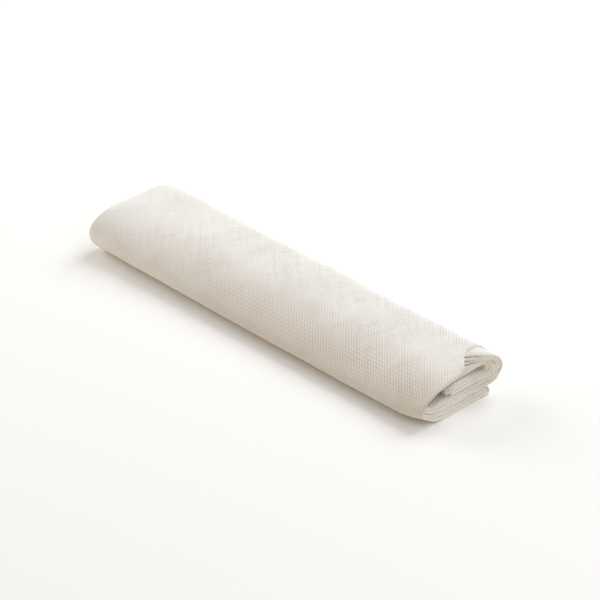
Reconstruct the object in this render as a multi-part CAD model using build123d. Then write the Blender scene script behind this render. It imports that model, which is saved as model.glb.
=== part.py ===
from build123d import *
import math
import os

# A calico arm sling, folded for storage. It is one triangular cut of cotton cloth, with a right angle
# opposite its long side. The cut is folded in half, and then in three along that side and in three up its
# height, which leaves a square pad many plies thick. The pad is rolled flat: five panels, one above
# another, joined by four half-turn folds. This is the roll from its end, with the front to the left:
#
#        .-------------------------.        level 4   top panel
#       /  .-------------------.    \       level 3   upper inner panel
#      |  |   -----------------'     |      level 2   core panel
#       \  '-------------------------'      level 1   lower inner panel
#        '--------------------              level 0   outer flap
#
# X runs along the roll, Y to its back and Z up. The origin is under the middle of the roll, on the surface
# that the outer flap lies on. The roll opens by turning forward about the front fold.

# The cut of cloth, in millimetres
cloth_base = 1270.0
cloth_height = 635.0
folds_along_half_base = 3
folds_up_height = 3

# The pad that the cut is folded to
pad_thickness = 3.7

# Air between two turns of the roll, which also keeps the flap clear of what turns above it
turn_gap = 0.3

# Air between the top panel and the front fold. It keeps the panel clear of the flap when the roll is open
swing_gap = 0.2

# How far each panel and fold stops short of the roll's left and right ends
outer_flap_ends = (2.0, 4.0)
front_fold_ends = (1.0, 3.0)
top_panel_ends = (0.0, 4.5)
back_fold_ends = (0.5, 0.0)
lower_panel_ends = (1.5, 1.0)
inner_front_fold_ends = (2.5, 3.5)
upper_panel_ends = (2.0, 2.5)
inner_back_fold_ends = (3.0, 3.0)
core_panel_ends = (3.5, 5.0)

# The outer ply steps back at the right end, along a slanted edge
top_step_depth = 7.0
top_step_start = 16.0

# The two free edges of the pad: the flap's stands in from the back fold, and the core's from the front bend
flap_edge_setback = 8.0
core_edge_setback = 9.0

# The rounding of the free edges
free_edge_radius = 1.3

# Sizes that follow
roll_length = cloth_base / 2 / folds_along_half_base
pad_width = cloth_height / folds_up_height
level_pitch = pad_thickness + turn_gap

FLAP, LOWER, CORE, UPPER, TOP = 0, 1, 2, 3, 4
fold_levels = [(CORE, UPPER), (UPPER, LOWER), (LOWER, TOP), (TOP, FLAP)]
fold_arcs = [math.pi * abs(a - b) * level_pitch / 2 for a, b in fold_levels]
front_reach = (TOP - FLAP) * level_pitch / 2 + pad_thickness / 2
back_reach = (TOP - LOWER) * level_pitch / 2 + pad_thickness / 2
short_by = core_edge_setback + flap_edge_setback - back_reach
panel_width = (pad_width - sum(fold_arcs) + short_by) / (len(fold_levels) + 1)
roll_width = panel_width + front_reach + back_reach
roll_height = TOP * level_pitch + pad_thickness

front_bend_y = -roll_width / 2 + front_reach
back_bend_y = front_bend_y + panel_width


def level_height(level):
    """Height of the middle of the pad on one level of the roll."""
    return level * level_pitch + pad_thickness / 2


def end_positions(ends):
    left = -roll_length / 2 + ends[0]
    right = roll_length / 2 - ends[1]
    return left, right


def panel(level, ends, front_y=front_bend_y, back_y=back_bend_y):
    """A flat stretch of the pad between two bends."""
    left, right = end_positions(ends)
    size = (right - left, back_y - front_y, pad_thickness)
    middle = Location(((left + right) / 2, (front_y + back_y) / 2, level_height(level)))
    return middle * Box(*size)


def fold(level_a, level_b, ends, bend_y, facing):
    """A half turn of the pad, from one level to another. It faces the front (-1) or the back (1)."""
    left, right = end_positions(ends)
    radius = abs(level_a - level_b) * level_pitch / 2
    centre_z = (level_height(level_a) + level_height(level_b)) / 2
    outer = radius + pad_thickness / 2
    inner = radius - pad_thickness / 2
    section = Plane(origin=(left, bend_y, centre_z), x_dir=(0, 1, 0), z_dir=(1, 0, 0))
    ring = Circle(outer)
    if inner > 0:
        ring -= Circle(inner)
    half = Location((facing * outer, 0)) * Rectangle(2 * outer, 4 * outer)
    return extrude(section * (ring & half), amount=right - left)


def round_free_edge(shape, edge_y):
    """Rounds the two long edges of a panel at its free side."""
    on_side = [e for e in shape.edges().filter_by(Axis.X) if abs(e.center().Y - edge_y) < 0.01]
    return fillet(on_side, min(free_edge_radius, 0.45 * pad_thickness))


def outer_flap():
    nose_y = back_bend_y + back_reach
    edge_y = nose_y - flap_edge_setback
    flap = panel(FLAP, outer_flap_ends, back_y=edge_y)
    return round_free_edge(flap, edge_y)


def front_fold():
    return fold(TOP, FLAP, front_fold_ends, front_bend_y, -1)


def top_panel():
    whole = panel(TOP, top_panel_ends, front_y=front_bend_y + swing_gap)
    right = end_positions(top_panel_ends)[1]
    step_y = front_bend_y + top_step_start
    corner = Polyline(
        (right + 1, step_y - 1),
        (right - top_step_depth, step_y + top_step_depth),
        (right - top_step_depth, back_bend_y + 1),
        (right + 1, back_bend_y + 1),
        close=True,
    )
    base = Plane.XY.offset(level_height(TOP) - pad_thickness)
    cut = extrude(base * make_face(corner), amount=2 * pad_thickness)
    return whole - cut


def back_fold():
    return fold(LOWER, TOP, back_fold_ends, back_bend_y, 1)


def lower_inner_panel():
    return panel(LOWER, lower_panel_ends)


def inner_front_fold():
    return fold(UPPER, LOWER, inner_front_fold_ends, front_bend_y, -1)


def upper_inner_panel():
    return panel(UPPER, upper_panel_ends)


def inner_back_fold():
    return fold(CORE, UPPER, inner_back_fold_ends, back_bend_y, 1)


def core_panel():
    edge_y = front_bend_y + core_edge_setback
    core = panel(CORE, core_panel_ends, front_y=edge_y)
    return round_free_edge(core, edge_y)


nodes = {
    "outer_flap": outer_flap,
    "front_fold": front_fold,
    "top_panel": top_panel,
    "back_fold": back_fold,
    "lower_inner_panel": lower_inner_panel,
    "inner_front_fold": inner_front_fold,
    "upper_inner_panel": upper_inner_panel,
    "inner_back_fold": inner_back_fold,
    "core_panel": core_panel,
}

os.makedirs("parts", exist_ok=True)
for name, make in nodes.items():
    export_step(make(), f"parts/{name}.step")

print(f"roll {roll_length:.2f} x {roll_width:.2f} x {roll_height:.2f} mm")
print(f"panel width {panel_width:.2f} mm, front bend at y {front_bend_y:.3f}, z {level_height(CORE):.3f}")
print(f"back bend at y {back_bend_y:.3f}, z {(level_height(LOWER) + level_height(TOP)) / 2:.3f}")
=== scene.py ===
import bpy
import math
import numpy as np
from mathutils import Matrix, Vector


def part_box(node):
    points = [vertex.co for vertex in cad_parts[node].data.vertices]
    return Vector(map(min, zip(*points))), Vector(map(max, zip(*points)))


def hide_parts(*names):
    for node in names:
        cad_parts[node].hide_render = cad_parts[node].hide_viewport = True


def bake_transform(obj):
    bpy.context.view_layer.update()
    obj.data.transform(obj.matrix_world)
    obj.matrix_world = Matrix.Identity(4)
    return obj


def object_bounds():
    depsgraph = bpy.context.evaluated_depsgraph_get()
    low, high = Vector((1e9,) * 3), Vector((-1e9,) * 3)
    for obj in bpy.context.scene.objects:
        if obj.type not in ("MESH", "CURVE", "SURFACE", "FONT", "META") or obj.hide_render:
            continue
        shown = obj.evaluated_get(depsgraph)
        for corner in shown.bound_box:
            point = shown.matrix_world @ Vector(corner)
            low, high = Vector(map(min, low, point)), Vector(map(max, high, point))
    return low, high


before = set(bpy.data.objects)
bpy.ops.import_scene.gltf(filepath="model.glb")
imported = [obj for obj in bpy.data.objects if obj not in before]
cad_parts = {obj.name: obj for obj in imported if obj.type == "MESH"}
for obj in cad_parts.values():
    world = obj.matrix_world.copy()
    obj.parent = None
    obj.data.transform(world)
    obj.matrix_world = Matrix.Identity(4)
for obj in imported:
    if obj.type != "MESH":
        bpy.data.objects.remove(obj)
cadBox = [list(corner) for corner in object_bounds()]
nodeNames = list(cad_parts)
print("frame loaded:", len(nodeNames), "nodes")

mm = 0.001


def srgb(hexColour):
    channels = [int(hexColour[i:i + 2], 16) / 255 for i in (0, 2, 4)]
    linear = [c / 12.92 if c <= 0.04045 else ((c + 0.055) / 1.055) ** 2.4 for c in channels]
    return (*linear, 1.0)


def smooth(t):
    t = np.clip(t, 0.0, 1.0)
    return t * t * (3 - 2 * t)


# The cloth is modelled flat, as it is cut, and then folded: columns first, rows next, and the pad
# is rolled last. All lengths here are in millimetres.
cloth = {
    "base": 1270.0,
    "height": 635.0,
    "thickness": 0.30,
    "padLayers": 12,            # places in the pad, some of them empty where a ply is cut away
    "padThickness": 3.7,
    "rollPitch": 4.0,           # from one turn of the roll to the next
    "coreShort": 9.0,           # how much narrower the core panel is than the others
}

# How closely the flat mesh is divided, so that each fold and bend comes out round.
meshLines = {
    "coarse": 6.0,              # spacing inside the roll, along it
    "fine": 3.2,                # and on the outer plies
    "closeRun": 40.0,           # half the spacing over this much by the right end
    "columnFold": 4, "rowFold": 8,                          # lines over each fold of the pad
    "panelCoarse": 4, "bendsCoarse": (8, 8, 10, 12),        # lines up each panel and bend of the roll
    "panelFine": 9, "bendsFine": (8, 10, 12, 16),
    "clearOfFold": 0.6,
}

# Which layer of the pad each column lies on, in each row, counted from the inner face. The two
# base corners and the apex are folded in first, so that whole plies lie outside.
layerOf = [
    [3.0, 4.0, 5.0, 0.0, 1.0, 2.0],      # row at the base
    [9.4, 9.0, 8.0, 11.0, 10.0, 9.6],    # middle row
    [6.7, 6.8, 7.0, 6.0, 6.2, 6.3],      # row at the apex
]

# Where the folds come. x runs along the roll from its left end, y across the open pad.
folds = {
    "spineX": 0.6, "innerX": 2.4,        # left: the closed spine, and the folds inside it
    "spineArc": 0.85, "columnArc": 0.2,  # half the cloth that each bend takes
    "flapY": 209.4, "coreY": 3.0,        # the row folds
    "rowArc": 1.9,
    "apexY": 204.0,
    "endClear": 0.15, "outerColumnShort": 3.0,   # how much more they stop short of the right end
}

# How far the plies stop short of the right end, along the roll's path: whole numbers are where
# a panel or a bend starts, from the core panel at 0 to the outer flap at 8.
pathAt = [
    0.3, 1, 1.5, 2, 2.5, 3, 3.5, 4, 4.5, 5, 5.25,
    5.5, 5.75, 5.9, 6, 6.17, 6.5, 6.75, 7, 7.5, 8, 9,
]
setbacks = {
    "outer": [
        8, 6.8, 5.0, 7.8, 10.6, 9.8, 9.0, 7.2, 6.2, 6.4, 4.6,
        4.6, 14, 14.5, 14.5, 14.5, 5, 5, 5.2, 5.6, 5.6, 5.6,
    ],
    "second": [
        8.2, 7, 5.2, 7.9, 10.3, 9.4, 8.7, 7.6, 6.8, 6.8, 4.8,
        3.4, 3.4, 3.8, 4.8, 12.2, 15.5, 13, 9.5, 7, 6, 6,
    ],
    "third": [
        8.4, 7.2, 6.0, 8.5, 10.1, 9.8, 9.2, 8, 7.6, 7.4, 5.4,
        4.0, 4.2, 4.8, 6, 10.8, 14, 12, 10, 7.4, 6.4, 6.4,
    ],
    "inner": [
        8.8, 7.6, 7.2, 9.0, 10.0, 9.8, 9.4, 8.6, 8.4, 8, 6,
        4.6, 4.8, 5.6, 7, 9.9, 12.5, 12, 10, 8, 6.8, 6.8,
    ],
}
rollLength = cloth["base"] / 6
layerStep = cloth["padThickness"] / cloth["padLayers"]

# The roll's section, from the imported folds: two bend centres, and the levels of the panels.
frontLow, frontHigh = (np.array(c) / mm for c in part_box("front_fold"))
backLow, backHigh = (np.array(c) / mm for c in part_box("back_fold"))
section = {
    "frontY": frontHigh[1],
    "frontZ": (frontLow[2] + frontHigh[2]) / 2,
    "backY": backLow[1],
    "backZ": (backLow[2] + backHigh[2]) / 2,
    "left": cadBox[0][0] / mm,
    "floorOfRoll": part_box("lower_inner_panel")[0][2] / mm,
}
halfPad = cloth["padThickness"] / 2
panelWidth = section["backY"] - section["frontY"]
pitch = cloth["rollPitch"]
bendRadii = [0.5 * pitch, 1.0 * pitch, 1.5 * pitch, 2.0 * pitch]
panelLevels = [2, 3, 1, 4, 0]


# Lengths of the five panels and four bends, on the outer face of the pad.
def pathLengths():
    lengths = []
    for i in range(5):
        lengths.append(panelWidth - (cloth["coreShort"] if i == 0 else 0))
        if i < 4:
            lengths.append(math.pi * (bendRadii[i] + halfPad))
    return lengths


pathStarts = np.concatenate([[0], np.cumsum(pathLengths())])
pathMarks = np.array([cloth["coreShort"] / panelWidth, 1, 2, 3, 4, 5, 6, 7, 8, 9])


# Place on the roll's path, 0 to 9, of a point at y on the open pad.
def pathPlace(y):
    along = y / rollLength * pathStarts[-1]
    return np.interp(along, pathStarts, pathMarks)


def yOfPlace(place):
    return np.interp(place, pathMarks, pathStarts) / pathStarts[-1] * rollLength


# Height on the flat cut of a place on the outer plies.
def heightOfPlace(place):
    width, arc = cloth["height"] / 3, folds["rowArc"]
    share = (folds["flapY"] - yOfPlace(place)) / (folds["flapY"] - folds["coreY"])
    return width + arc + share * (width - 2 * arc)


def linesBetween(a, b, spacing):
    count = max(1, round(abs(b - a) / spacing))
    return list(np.linspace(a, b, count + 1)[:-1])


def linesOverFold(a, b, fold):
    return list(np.linspace(a, b, meshLines[fold] + 1)[:-1])


# Mesh lines across the base, from the middle of the cloth outwards, on both sides.
def columnLines():
    width = cloth["base"] / 6
    arc, spine = folds["columnArc"], folds["spineArc"]
    fine, coarse, close = meshLines["fine"], meshLines["coarse"], meshLines["closeRun"]
    halves = []
    for side in (-1, 1):
        lines = linesOverFold(0, spine, "columnFold")
        start = spine
        for column, spacing in enumerate((fine, fine, coarse) if side > 0 else (coarse, coarse, coarse)):
            end = width * (column + 1) - (arc if column < 2 else 0)
            # closer together by the right end, where the plies step back
            if column == 0:
                lines += linesBetween(start, end - close, spacing)
                lines += linesBetween(end - close, end, spacing / 2)
            elif spacing == fine:
                lines += linesBetween(start, start + close, spacing / 2)
                lines += linesBetween(start + close, end, spacing)
            else:
                lines += linesBetween(start, end, spacing)
            if column < 2:
                lines += linesOverFold(end, end + 2 * arc, "columnFold")
                start = end + 2 * arc
        lines.append(width * 3)
        halves.append(side * np.array(lines))
    return np.unique(np.round(np.concatenate(halves), 5))


# Mesh lines across the open pad, as many for each panel and bend of the roll as it needs.
def padLines(lowY, highY, perPanel, perBend):
    lines = []
    for k in range(9):
        count = perPanel if k % 2 == 0 else perBend[k // 2]
        lines += list(k + np.arange(count) / count)
    ys = yOfPlace(np.array([k for k in lines if k > pathMarks[0]] + [9.0]))
    clear = meshLines["clearOfFold"]
    inside = ys[(ys > lowY + clear) & (ys < highY - clear)]
    return np.concatenate([[lowY], inside, [highY]])


# Mesh lines up the height of the cloth.
def rowLines():
    width, arc = cloth["height"] / 3, folds["rowArc"]
    flapY, coreY, apexY = folds["flapY"], folds["coreY"], folds["apexY"]
    first = padLines(0, flapY, meshLines["panelCoarse"], meshLines["bendsCoarse"]) / flapY
    lines = list(first * (width - arc))
    lines += linesOverFold(width - arc, width + arc, "rowFold")
    middle = padLines(coreY, flapY, meshLines["panelFine"], meshLines["bendsFine"])
    middle = (flapY - middle[::-1]) / (flapY - coreY)
    lines += list(width + arc + middle * (width - 2 * arc))
    lines += linesOverFold(2 * width - arc, 2 * width + arc, "rowFold")
    last = padLines(coreY, apexY, meshLines["panelCoarse"], meshLines["bendsCoarse"])
    last = (last - coreY) / (apexY - coreY)
    lines += list(2 * width + arc + last * (width - arc))
    return np.unique(np.round(lines, 5))


def deselectAll():
    bpy.ops.object.select_all(action="DESELECT")


# The triangle as it is cut: a grid whose two sides are bisected off.
def flatCloth():
    us, vs = columnLines(), rowLines()
    deselectAll()
    bpy.ops.mesh.primitive_grid_add(x_subdivisions=len(us) - 1, y_subdivisions=len(vs) - 1, size=1)
    obj = bpy.context.object
    obj.name = obj.data.name = "calico_cloth"
    mesh = obj.data
    co = np.empty(len(mesh.vertices) * 3)
    mesh.vertices.foreach_get("co", co)
    co = co.reshape(-1, 3)
    column = np.rint((co[:, 0] + 0.5) * (len(us) - 1)).astype(int)
    row = np.rint((co[:, 1] + 0.5) * (len(vs) - 1)).astype(int)
    co[:, 0], co[:, 1] = us[column] * mm, vs[row] * mm
    mesh.vertices.foreach_set("co", co.ravel())
    half, height = cloth["base"] / 2 * mm, cloth["height"] * mm
    bpy.ops.object.mode_set(mode="EDIT")
    for side in (-1, 1):
        bpy.ops.mesh.select_all(action="SELECT")
        bpy.ops.mesh.bisect(plane_co=(side * half, 0, 0), plane_no=(side * height, half, 0),
                            clear_outer=True, threshold=1e-6)
    bpy.ops.object.mode_set(mode="OBJECT")
    return obj


def blendOf(t):
    return 0.5 + 0.5 * np.sin(t)


# For each point: its column and the one beyond the nearest fold, the share of that second one, how
# far the fold bulges there and which fold it is, then its distance from the middle and its index.
def foldColumns(p):
    side = np.where(p < 0, -1, 1)
    far = np.abs(p)
    width, arc, spine = cloth["base"] / 6, folds["columnArc"], folds["spineArc"]
    index = np.clip(np.floor(far / width), 0, 2).astype(int)
    own = np.where(side > 0, 3 + index, 2 - index)
    other, share = own.copy(), np.zeros_like(far)
    bulge, kind = np.zeros_like(far), np.zeros(len(far), int)
    atSpine = far < spine
    t = far / spine * math.pi / 2
    other = np.where(atSpine, np.where(side > 0, 2, 3), other)
    share = np.where(atSpine, 1 - blendOf(t), share)
    bulge = np.where(atSpine, np.cos(t), bulge)
    kind = np.where(atSpine, 1, kind)
    for line in (1, 2):
        near = np.abs(far - line * width) <= arc
        t = (far - line * width) / arc * math.pi / 2
        before = np.where(side > 0, 2 + line, 3 - line)
        after = np.where(side > 0, 3 + line, 2 - line)
        own = np.where(near, before, own)
        other = np.where(near, after, other)
        share = np.where(near, blendOf(t), share)
        bulge = np.where(near, np.cos(t), bulge)
        kind = np.where(near, 1 + line, kind)
    return own, other, share, bulge, kind, far, index


# The same up the height: two rows, the share of the second, the bulge, and y on the open pad.
def foldRows(v):
    width, arc = cloth["height"] / 3, folds["rowArc"]
    own = np.clip(np.floor(v / width), 0, 2).astype(int)
    other, share = own.copy(), np.zeros_like(v)
    bulge = np.zeros_like(v)
    y = np.select(
        [v < width, v < 2 * width],
        [v / (width - arc) * folds["flapY"],
         folds["flapY"] - (v - width - arc) / (width - 2 * arc) * (folds["flapY"] - folds["coreY"])],
        folds["coreY"] + (v - 2 * width - arc) / (width - arc) * (folds["apexY"] - folds["coreY"]),
    )
    for line, foldY in ((1, folds["flapY"]), (2, folds["coreY"])):
        near = np.abs(v - line * width) <= arc
        t = (v - line * width) / arc * math.pi / 2
        own = np.where(near, line - 1, own)
        other = np.where(near, line, other)
        share = np.where(near, blendOf(t), share)
        bulge = np.where(near, np.cos(t) * (1 if line == 1 else -1), bulge)
        y = np.where(near, foldY, y)
    return own, other, share, bulge, y


# Cloth coordinates to the open pad: x along it, y across it, and the layer.
def foldCloth(p, v):
    table = np.array(layerOf)
    cA, cB, cShare, cBulge, cKind, far, column = foldColumns(p)
    rA, rB, rShare, rBulge, y = foldRows(v)
    inA = table[rA, cA] * (1 - rShare) + table[rB, cA] * rShare
    inB = table[rA, cB] * (1 - rShare) + table[rB, cB] * rShare
    layer = inA * (1 - cShare) + inB * cShare
    colRadius = np.abs(inA - inB) / 2 * layerStep
    rowA = table[rA, cA] * (1 - cShare) + table[rA, cB] * cShare
    rowB = table[rB, cA] * (1 - cShare) + table[rB, cB] * cShare
    rowRadius = np.abs(rowA - rowB) / 2 * layerStep
    y = y + rowRadius * rBulge
    place = pathPlace(y)
    # the right-hand end of this ply
    short = {name: np.interp(place, pathAt, values) for name, values in setbacks.items()}
    outerRow = np.clip(np.where(rA == 0, rShare * (rB == 1), 1.0), 0, 1)
    setback = np.where(
        p >= 0,
        short["inner"] * (1 - outerRow) + short["outer"] * outerRow,
        short["third"] * (1 - outerRow) + short["second"] * outerRow,
    )
    rightX = rollLength - setback - folds["endClear"]
    width, arc, spine = cloth["base"] / 6, folds["columnArc"], folds["spineArc"]
    spineX, innerX = folds["spineX"], folds["innerX"]
    along = np.select(
        [column == 0, column == 1],
        [(far - spine) / (width - spine - arc), 1 - (far - width - arc) / (width - 2 * arc)],
        (far - 2 * width - arc) / (width - arc),
    )
    along = np.clip(along, 0, 1)
    leftX = np.where(column == 0, spineX, innerX)
    x = leftX + along * (rightX - np.where(column == 2, folds["outerColumnShort"], 0) - leftX)
    x = np.where(cKind == 1, spineX - colRadius * cBulge, x)
    x = np.where(cKind == 2, rightX + colRadius * cBulge, x)
    x = np.where(cKind == 3, innerX - colRadius * cBulge, x)
    return x, y, layer, rightX - x


# A point of the pad to the roll's section. offset is out from the middle of the pad.
def rollPad(place, offset):
    frontY, frontZ = section["frontY"], section["frontZ"]
    backY, backZ = section["backY"], section["backZ"]
    k = np.clip(np.floor(place), 0, 8).astype(int)
    f = place - k
    Y, Z = np.zeros_like(place), np.zeros_like(place)
    for i, level in enumerate(panelLevels):
        here = k == 2 * i
        toBack = i % 2 == 0
        z = halfPad + level * pitch
        Y = np.where(here, frontY + f * panelWidth if toBack else backY - f * panelWidth, Y)
        Z = np.where(here, z - offset if toBack else z + offset, Z)
    for i, radius in enumerate(bendRadii):
        here = k == 2 * i + 1
        atBack = i % 2 == 0
        turn = f * math.pi
        r = radius + offset
        Y = np.where(here, backY + r * np.sin(turn) if atBack else frontY - r * np.sin(turn), Y)
        Z = np.where(here, backZ - r * np.cos(turn) if atBack else frontZ + r * np.cos(turn), Z)
    return Y, Z


# How the soft roll settles, in millimetres. Every point in the same place moves alike, so that
# plies that lie on each other stay in order.
settle = {
    # the front is pressed lower than the back: by how much along the roll, and from where across it
    "frontSink": ((0, 0.04), (14, 0.14), (45, 0.31), (110, 0.42), (165, 0.43), (212, 0.36)),
    "frontSinkFrom": 0.85,
    # widths of its rounded edges along the roll, on top and on the underside
    "topFrontRun": ((0, 18), (50, 25), (110, 33), (165, 32), (212, 14)),
    "bottomFrontRun": ((0, 8.0), (50, 11.5)),
    # these keep the rounded edges from closing to nothing
    "leastFront": 0.3, "depthLimit": 0.9995, "reachLimit": 0.9998,
    # the closed left end is rounded, its near corner stands up a little, and its far one is blunt
    "leftRound": 3.2, "leftRun": 9.0,
    "leftFrontIn": 0.6, "leftFrontWidth": (2.0, 9.0), "leftFrontRun": 30.0,
    "leftCornerRise": 1.2, "leftCornerAt": (10.0, 22.0), "leftCornerWidth": 0.6,
    "leftBackRound": 3.2, "leftBackDrop": 0.9, "leftBackRun": 11.0,
    # and the near corner of the right end is lifted
    "frontCornerLift": 3.2, "frontCornerIn": 1.8, "frontCornerRun": 22.0, "frontCornerWidth": 0.32,
    # the back fold's nose, with the places on the path where it starts and ends
    "noseShrink": 0.10, "noseLift": 1.3, "noseRun": 30.0,
    "noseFrom": (4.3, 0.5), "noseTo": (7.0, 0.8),
    "waves": [                  # height, length along, length across, phase
        (0.30, 88.0, 140.0, 0.6), (0.22, 47.0, -75.0, 2.1),
        (0.16, 31.0, 52.0, 4.4), (0.10, 19.0, -33.0, 1.3),
    ],
    # a slit between the core's turns, by the right end: how wide it is from front to back
    "slitOpen": ((-16, 0.2), (-8, 0.7), (8, 0.9), (17, 2.2)),
    "slitRun": 22.0, "slitSharp": 0.3, "slitReach": 8.0, "slitTo": (23.0, 2.0),
    # the core bend's plies press outwards round a hollow, and one ply of it hangs into the hollow
    "coreTight": 0.66, "hollowRun": 26.0, "coreBend": (1.5, 0.9),
    "tongueIn": 1.7, "tongueRun": 20.0, "tongueAt": (1.3, 0.15), "tonguePly": (1.4, 0.8),
    "flapReach": 2.4,
    "floorClear": 0.05,
    # the outer ply's folded end stands this proud, between two places on the path
    "hemLoft": 0.42, "hemRun": 2.2, "hemFrom": (5.95, 0.35), "hemTo": (7.6, 0.5),
    # folds at the right end open into the places of the plies that stop short of them
    "foldedEnds": ((0, 1, 4, 5, 8, 9, 10, 11), (0, 2.0, 3.0, 6.1, 7.1, 9.3, 9.8, 11)),
    "foldedEndRun": 1.3,
}


def nearRight(X, run):
    return smooth((X - (section["left"] + rollLength - run)) / run)


# Three soft switches: 1 past a start, 1 before an end, and 1 at a middle.
def risesFrom(value, start, run):
    return smooth((value - start) / run)


def fallsTo(value, end, run):
    return smooth((end - value) / run)


def around(value, middle, reach):
    return smooth(1 - np.abs(value - middle) / reach)


# Offsets of single plies in the pad, before it is rolled.
def openPlies(X, place, offset, layer, toEnd):
    toEnd = np.clip(toEnd, 0, None)
    opened = np.interp(layer, *settle["foldedEnds"]) - layer
    offset = offset + opened * layerStep * np.exp(-toEnd / settle["foldedEndRun"])
    outermost = np.clip(layer - (cloth["padLayers"] - 2), 0, 1)
    loft = settle["hemLoft"] * (outermost * np.exp(-toEnd / settle["hemRun"]))
    offset = offset + loft * risesFrom(place, *settle["hemFrom"]) * fallsTo(place, *settle["hemTo"])
    core = around(place, *settle["coreBend"]) * nearRight(X, settle["hollowRun"])
    squeeze = (1 - settle["coreTight"]) * core
    offset = offset * (1 - squeeze) + halfPad * squeeze
    tongue = around(place, *settle["tongueAt"]) * fallsTo(layer, *settle["tonguePly"])
    return offset - tongue * settle["tongueIn"] * nearRight(X, settle["tongueRun"])


def settleRoll(X, Y, Z, place):
    height = cadBox[1][2] / mm
    front, back = cadBox[0][1] / mm, cadBox[1][1] / mm
    middle = height / 2
    low = section["floorOfRoll"]
    # a slit between the core's two turns by the right end
    fromSlit = Z - section["backZ"]
    nearSlit = np.clip(1 - np.abs(fromSlit) / settle["slitReach"], 0, 1)
    apart = np.tanh(fromSlit / settle["slitSharp"]) * nearSlit
    wide = np.interp(Y, *zip(*settle["slitOpen"])) * fallsTo(Y, *settle["slitTo"])
    Z = Z + 0.5 * wide * apart * nearRight(X, settle["slitRun"])
    # the flap's free edge reaches a little further back
    Y = Y + settle["flapReach"] * smooth(place - 8)
    # the front edge is a long soft curve above and a shorter one below
    fromLeft = X - section["left"]
    depth = np.clip(section["frontY"] - Y, 0, middle * settle["depthLimit"])
    circle = np.sqrt(middle ** 2 - depth ** 2)
    for side, run in ((Z > middle, "topFrontRun"), (Z <= middle, "bottomFrontRun")):
        width = np.interp(fromLeft, *zip(*settle[run]))
        reach = np.clip((front + width - Y) / width, 0, settle["reachLimit"])
        share = np.clip(middle * np.sqrt(1 - reach ** 2) / circle, settle["leastFront"], 1.0)
        Z = np.where(side, middle + (Z - middle) * share, Z)
    across = np.clip((Y - front) / (back - front), 0, 1)
    slope = np.clip(1 - across / settle["frontSinkFrom"], 0, 1)
    sink = np.interp(fromLeft, *zip(*settle["frontSink"]))
    Z = Z * (1 - sink * slope ** 2)
    # the back fold is flatter and a little further in by the right end
    backY = section["backY"]
    nose = nearRight(X, settle["noseRun"]) * risesFrom(place, *settle["noseFrom"])
    nose = nose * fallsTo(place, *settle["noseTo"])
    lift = np.clip((Y - backY) / (back - backY), 0, 1)
    Y = np.where(Y > backY, backY + (Y - backY) * (1 - settle["noseShrink"] * nose), Y)
    Z = Z + settle["noseLift"] * nose * lift * np.clip(1 - (Z - low) / (height - low), 0, 1)
    # the closed left end
    bulge = np.clip(np.abs(Z - middle) / middle, 0, 1) ** 3
    X = X + settle["leftRound"] * bulge * smooth(1 - fromLeft / settle["leftRun"])
    inFrom, inRun = settle["leftFrontWidth"]
    nearFront = fallsTo(Y, section["frontY"] + inFrom, inRun)
    X = X + settle["leftFrontIn"] * nearFront * smooth(1 - fromLeft / settle["leftFrontRun"])
    cornerRun = settle["leftBackRun"]
    farCorner = smooth((Y - back) / cornerRun + 1) * smooth(1 - fromLeft / cornerRun)
    X = X + settle["leftBackRound"] * farCorner
    Z = Z - settle["leftBackDrop"] * farCorner * Z / height
    across = (Y - front) / (back - front)
    risen = around(fromLeft, *settle["leftCornerAt"]) * smooth(1 - across / settle["leftCornerWidth"])
    Z = Z + settle["leftCornerRise"] * risen * (Z / height)
    # the near corner of the right end
    corner = nearRight(X, settle["frontCornerRun"]) ** 1.5
    corner = corner * smooth(1 - across / settle["frontCornerWidth"])
    Z = Z + settle["frontCornerLift"] * corner * (1 - Z / height)
    Y = Y + settle["frontCornerIn"] * corner
    for high, along, acrossLength, phase in settle["waves"]:
        Z = Z + high * (Z / height) * np.sin(2 * math.pi * (X / along + Y / acrossLength) + phase)
    return X, Y, Z + settle["floorClear"]


def makeCloth():
    obj = flatCloth()
    mesh = obj.data
    count = len(mesh.vertices)
    co = np.empty(count * 3)
    mesh.vertices.foreach_get("co", co)
    co = co.reshape(-1, 3)
    plan = mesh.uv_layers.new(name="clothPlan") if not mesh.uv_layers else mesh.uv_layers[0]
    plan.name = "clothPlan"
    loopVerts = np.empty(len(mesh.loops), int)
    mesh.loops.foreach_get("vertex_index", loopVerts)
    plan.uv.foreach_set("vector", co[loopVerts][:, :2].ravel())
    x, y, layer, toEnd = foldCloth(co[:, 0] / mm, co[:, 1] / mm)
    place = pathPlace(y)
    offset = (layer - (cloth["padLayers"] - 1) / 2) * layerStep
    X = x + section["left"]
    offset = openPlies(X, place, offset, layer, toEnd)
    Y, Z = rollPad(place, offset)
    X, Y, Z = settleRoll(X, Y, Z, place)
    mesh.vertices.foreach_set("co", (np.stack([X, Y, Z], axis=1) * mm).ravel())
    weights = np.clip(8 - place, 0, 1)       # 1 on the roll, 0 on the flap, even over the front fold
    mesh.attributes.new("rollShare", "FLOAT", "POINT").data.foreach_set("value", weights)
    mesh.update()
    print("cloth folded:", count, "points")
    return obj


def thicken(obj):
    deselectAll()
    obj.select_set(True)
    bpy.context.view_layer.objects.active = obj
    wall = obj.modifiers.new("thickness", "SOLIDIFY")
    wall.thickness = cloth["thickness"] * mm
    wall.offset = 0
    bpy.ops.object.modifier_apply(modifier=wall.name)
    bpy.ops.object.shade_smooth()


calico = makeCloth()
thicken(calico)
print("triangles:", sum(len(p.vertices) - 2 for p in calico.data.polygons))


def addNode(tree, kind, settings=None, inputs=None):
    node = tree.nodes.new(kind)
    for name, value in (settings or {}).items():
        setattr(node, name, value)
    for name, value in (inputs or {}).items():
        if isinstance(value, bpy.types.NodeSocket):
            tree.links.new(value, node.inputs[name])
        else:
            node.inputs[name].default_value = value
    return node


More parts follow.
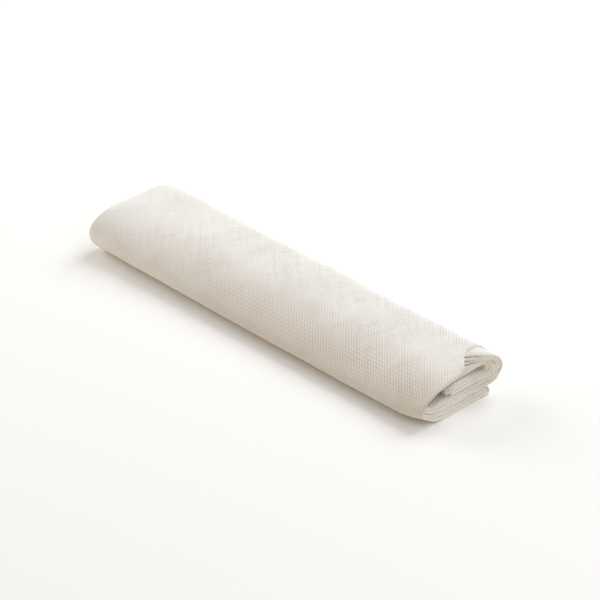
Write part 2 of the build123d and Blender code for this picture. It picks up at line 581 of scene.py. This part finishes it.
weave = {
    "threadPitch": 1.195,       # mm between threads, coarser than real calico so that it shows
    "outerStretch": 1.11,       # the outer plies are stretched this much round the roll
    "overUnder": 0.24,          # how far the thread on top stands above the one below
    "meanHeight": 0.64,
    "marked": (0.5, 1.35),      # how strongly the threads stand out, at the left end and at the right
    # tones from the weave's gaps up to its thickest threads, and where each comes: the gaps are painted
    # darker, as painted shade between the threads
    "gapShadeTones": ((0.02, "cac2b7"), (0.45, "eae7e3"), (1.0, "f1efec")),
    "slubs": ((0.6, 0.09, 1), (0.09, 0.6, 1)),              # noise drawn out along either thread
    "slubScale": 0.9, "slubMark": 0.6,
    "cloudScale": 0.075, "cloudMark": 0.7,
    "creaseFromEnd": 30.5, "creaseWidth": 1.2,   # mm, a pressed line across the front, by the right end
    "creaseTo": 6.75, "creaseFade": 8.0,         # its top end, as a place on the roll's path
    # how far the pressed line lightens the colour: a painted highlight
    "creasePaintedHighlight": 0.9,
    "paintedFrontShade": "c2b3a0",        # painted shade: a warm brown mixed into the weave round the shaded front
    "paintedShadeAt": 7.3,              # where the painted shade is strongest, as a place on the path
    "paintedShadeHalf": 22.0, "paintedShadeFade": 16.0,          # mm, half the band of painted shade
    "paintedShadeFromLeft": 90.0,       # and the painted shade comes in little by little over this much of the left end
    "paintedShadeAll": 0.26, "paintedShadeInGaps": 0.50,           # how much painted shade there is all over the band, and in the gaps
    "gapBelow": 0.95, "gapFade": 0.8,            # heights of the weave that count as its gaps
    "bumpStrength": 0.48, "bumpDistance": 0.16,
    "roughness": 0.94, "specular": 0.2, "sheen": 0.12, "sheenRoughness": 0.6,
}


# Loose plain weave of unbleached cotton: matt, pale and a little uneven thread by thread, smoother
# at its left end; painted shade in its gaps and in warm brown round the front, a painted highlight on a
# pressed line.
def unbleachedCalico():
    mat = bpy.data.materials.new("unbleached_calico_woven")
    mat.use_nodes = True
    tree = mat.node_tree
    shader = tree.nodes["Principled BSDF"]

    def calc(operation, first, second=0.0):
        return addNode(tree, "ShaderNodeMath", {"operation": operation}, {0: first, 1: second}).outputs[0]

    # 1 where a value is well below the limit, and 0 past it
    def fadeOut(value, limit, fade):
        within = calc("DIVIDE", calc("SUBTRACT", limit, value), fade)
        return calc("MINIMUM", calc("MAXIMUM", within, 0.0), 1.0)

    plan = addNode(tree, "ShaderNodeUVMap", {"uv_map": "clothPlan"})
    onCut = addNode(tree, "ShaderNodeSeparateXYZ", None, {0: plan.outputs["UV"]})
    fromLeft = calc("MAXIMUM", onCut.outputs["X"], 0.0)
    perMetre = 1 / (weave["threadPitch"] * mm)
    # the cut's long side is the cloth's bias, so the threads run at 45 degrees to it
    threads = addNode(tree, "ShaderNodeMapping", {"vector_type": "POINT"},
                      {"Vector": plan.outputs["UV"], "Rotation": (0, 0, math.radians(45)),
                       "Scale": (perMetre, perMetre * weave["outerStretch"], 1)}).outputs["Vector"]
    axes = addNode(tree, "ShaderNodeSeparateXYZ", None, {0: threads})
    warpWave = calc("SINE", calc("MULTIPLY", axes.outputs["X"], math.pi))
    weftWave = calc("SINE", calc("MULTIPLY", axes.outputs["Y"], math.pi))
    rounded = calc("MULTIPLY", calc("ADD", calc("ABSOLUTE", warpWave), calc("ABSOLUTE", weftWave)), 0.5)
    onTop = calc("MULTIPLY", calc("MULTIPLY", warpWave, weftWave), weave["overUnder"])
    height = calc("ADD", rounded, onTop)
    # the threads stand out more towards the right end, where the cloth is pulled
    alongRoll = calc("MINIMUM", calc("DIVIDE", fromLeft, rollLength * mm), 1.0)
    markLeft, markRight = weave["marked"]
    marked = calc("ADD", calc("MULTIPLY", alongRoll, markRight - markLeft), markLeft)
    relief = calc("MULTIPLY", calc("SUBTRACT", height, weave["meanHeight"]), marked)
    height = calc("ADD", relief, weave["meanHeight"])
    # single threads are thicker or thinner along their length
    noises = []
    for scale in weave["slubs"]:
        drawn = addNode(tree, "ShaderNodeMapping", None, {"Vector": threads, "Scale": scale})
        noise = addNode(tree, "ShaderNodeTexNoise", None, {
            "Vector": drawn.outputs["Vector"], "Scale": weave["slubScale"], "Detail": 2.0})
        noises.append(noise.outputs["Fac"])
    slub = calc("MULTIPLY", calc("SUBTRACT", calc("ADD", *noises), 1.0), weave["slubMark"])
    uneven = addNode(tree, "ShaderNodeTexNoise", None, {
        "Vector": threads, "Scale": weave["cloudScale"], "Detail": 3.0}).outputs["Fac"]
    cloud = calc("MULTIPLY", calc("SUBTRACT", uneven, 0.5), weave["cloudMark"])
    surface = calc("ADD", height, slub)
    # the pressed line shows only where the cloth goes round the front: raised in the bump, and lightened
    # in colour as a painted highlight
    lineAt = (rollLength - weave["creaseFromEnd"]) * mm
    away = calc("ABSOLUTE", calc("SUBTRACT", onCut.outputs["X"], lineAt))
    pastTop = calc("SUBTRACT", onCut.outputs["Y"], heightOfPlace(weave["creaseTo"]) * mm)
    line = calc("MAXIMUM", calc("SUBTRACT", 1.0, calc("DIVIDE", away, weave["creaseWidth"] * mm)), 0.0)
    crease = calc("MULTIPLY", line, fadeOut(pastTop, 0.0, weave["creaseFade"] * mm))
    # the pressed line lifts the tone: a painted highlight
    tone = calc("ADD", calc("ADD", surface, cloud), calc("MULTIPLY", crease, weave["creasePaintedHighlight"]))
    # the ramp colours the weave's gaps darker: painted shade between the threads
    ramp = addNode(tree, "ShaderNodeValToRGB", None, {"Fac": tone})
    steps = ramp.color_ramp.elements
    steps.new(0.5)
    for step, (position, hexColour) in zip(steps, weave["gapShadeTones"]):
        step.position = position
        step.color = srgb(hexColour)
    # painted shade round the front of the roll: a warm brown mixed into the weave, more in its gaps
    paintedShadeMost = heightOfPlace(weave["paintedShadeAt"]) * mm
    fromPaintedShadeMost = calc("ABSOLUTE", calc("SUBTRACT", onCut.outputs["Y"], paintedShadeMost))
    opened = fadeOut(fromPaintedShadeMost, weave["paintedShadeHalf"] * mm, weave["paintedShadeFade"] * mm)
    unshadedLeft = fadeOut(fromLeft, weave["paintedShadeFromLeft"] * mm, weave["paintedShadeFromLeft"] * mm)
    opened = calc("MULTIPLY", opened, calc("SUBTRACT", 1.0, unshadedLeft))
    gapPaintedShade = calc("MULTIPLY", fadeOut(height, weave["gapBelow"], weave["gapFade"]), weave["paintedShadeInGaps"])
    shows = calc("MULTIPLY", opened, calc("ADD", gapPaintedShade, weave["paintedShadeAll"]))
    colour = addNode(tree, "ShaderNodeMix", {"data_type": "RGBA"},
                     {0: shows, 6: ramp.outputs["Color"], 7: srgb(weave["paintedFrontShade"])})
    bump = addNode(tree, "ShaderNodeBump", None, {
        "Height": calc("ADD", surface, crease),
        "Strength": weave["bumpStrength"], "Distance": weave["bumpDistance"] * mm})
    tree.links.new(colour.outputs[2], shader.inputs["Base Color"])
    tree.links.new(bump.outputs["Normal"], shader.inputs["Normal"])
    shader.inputs["Roughness"].default_value = weave["roughness"]
    shader.inputs["Specular IOR Level"].default_value = weave["specular"]
    shader.inputs["Sheen Weight"].default_value = weave["sheen"]
    shader.inputs["Sheen Roughness"].default_value = weave["sheenRoughness"]
    return mat


calico.data.materials.clear()
calico.data.materials.append(unbleachedCalico())

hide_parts(*nodeNames)
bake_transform(calico)
shares = calico.data.attributes["rollShare"]
values = np.empty(len(calico.data.vertices))
shares.data.foreach_get("value", values)
calico.data.attributes.remove(calico.data.attributes["rollShare"])

studio = {
    "azimuth": 45.7, "elevation": 31.3, "distance": 1.56, "lens": 215.4,
    "target": (-0.0014, 0.006, 0.007),
    "sensor": 36.0,
    "paper": (0.98, 0.98, 0.98, 1), "white": (1, 1, 1, 1),
    "bounceColour": (0.96, 0.87, 0.75, 1),      # what the floor sends back warms the shaded side
    "floorSize": 2.8,                           # no further than the lamps light it
    "roomColour": (0.30, 0.298, 0.293, 1),      # what the room sends back, where it isn't seen
    "lamps": [                  # name, place, size, watts, colour
        ("overhead_softbox", (0.0, 1.2, 1.15), 1.2, 20.5, (0.97, 0.985, 1.0)),
        ("right_fill", (1.1, 0.1, 1.05), 1.0, 4.9, (1.0, 0.95, 0.86)),
        ("left_fill", (-1.3, -0.2, 0.4), 1.0, 11.3, (1.0, 0.95, 0.89)),
        ("low_front_fill", (0.4, -1.3, 0.22), 0.8, 2.7, (1.0, 0.87, 0.74)),
    ],
}


# 1 where the camera sees a surface itself, or in a mirror or through glass.
def seenDirectly(tree):
    path = addNode(tree, "ShaderNodeLightPath")
    glossy = addNode(tree, "ShaderNodeMath", {"operation": "MAXIMUM"},
                     {0: path.outputs["Is Camera Ray"], 1: path.outputs["Is Glossy Ray"]})
    return addNode(tree, "ShaderNodeMath", {"operation": "MAXIMUM"},
                   {0: glossy.outputs[0], 1: path.outputs["Is Transmission Ray"]}).outputs[0]


def makeStudio():
    deselectAll()
    bpy.ops.mesh.primitive_plane_add(size=studio["floorSize"], location=(0, 0, 0))
    floor = bpy.context.object
    floor.name = "ground"
    mat = bpy.data.materials.new("white_paper_sweep")
    mat.use_nodes = True
    shader = mat.node_tree.nodes["Principled BSDF"]
    seen = addNode(mat.node_tree, "ShaderNodeMix", {"data_type": "RGBA"}, {
        0: seenDirectly(mat.node_tree), 6: studio["bounceColour"], 7: studio["paper"]})
    mat.node_tree.links.new(seen.outputs[2], shader.inputs["Base Color"])
    shader.inputs["Roughness"].default_value = 1.0
    shader.inputs["Specular IOR Level"].default_value = 0.0
    floor.data.materials.append(mat)
    world = bpy.context.scene.world or bpy.data.worlds.new("studio")
    bpy.context.scene.world = world
    world.use_nodes = True
    back = world.node_tree.nodes["Background"]
    room = addNode(world.node_tree, "ShaderNodeMix", {"data_type": "RGBA"}, {
        0: seenDirectly(world.node_tree), 6: studio["roomColour"], 7: studio["white"]})
    world.node_tree.links.new(room.outputs[2], back.inputs["Color"])
    for name, place, size, watts, tint in studio["lamps"]:
        bpy.ops.object.light_add(type="AREA", location=place)
        lamp = bpy.context.object
        lamp.name = name
        lamp.data.size = size
        lamp.data.energy = watts
        lamp.data.color = tint
        lamp.rotation_euler = (-Vector(place)).to_track_quat("-Z", "Y").to_euler()
    az, el = math.radians(studio["azimuth"]), math.radians(studio["elevation"])
    away = Vector((math.sin(az) * math.cos(el), -math.cos(az) * math.cos(el), math.sin(el)))
    bpy.ops.object.camera_add(location=Vector(studio["target"]) + away * studio["distance"])
    camera = bpy.context.object
    camera.rotation_euler = (-away).to_track_quat("-Z", "Y").to_euler()
    camera.data.lens = studio["lens"]
    camera.data.sensor_width = studio["sensor"]
    bpy.context.scene.camera = camera
    bpy.context.scene.view_settings.view_transform = "Standard"


makeStudio()
print("studio made")
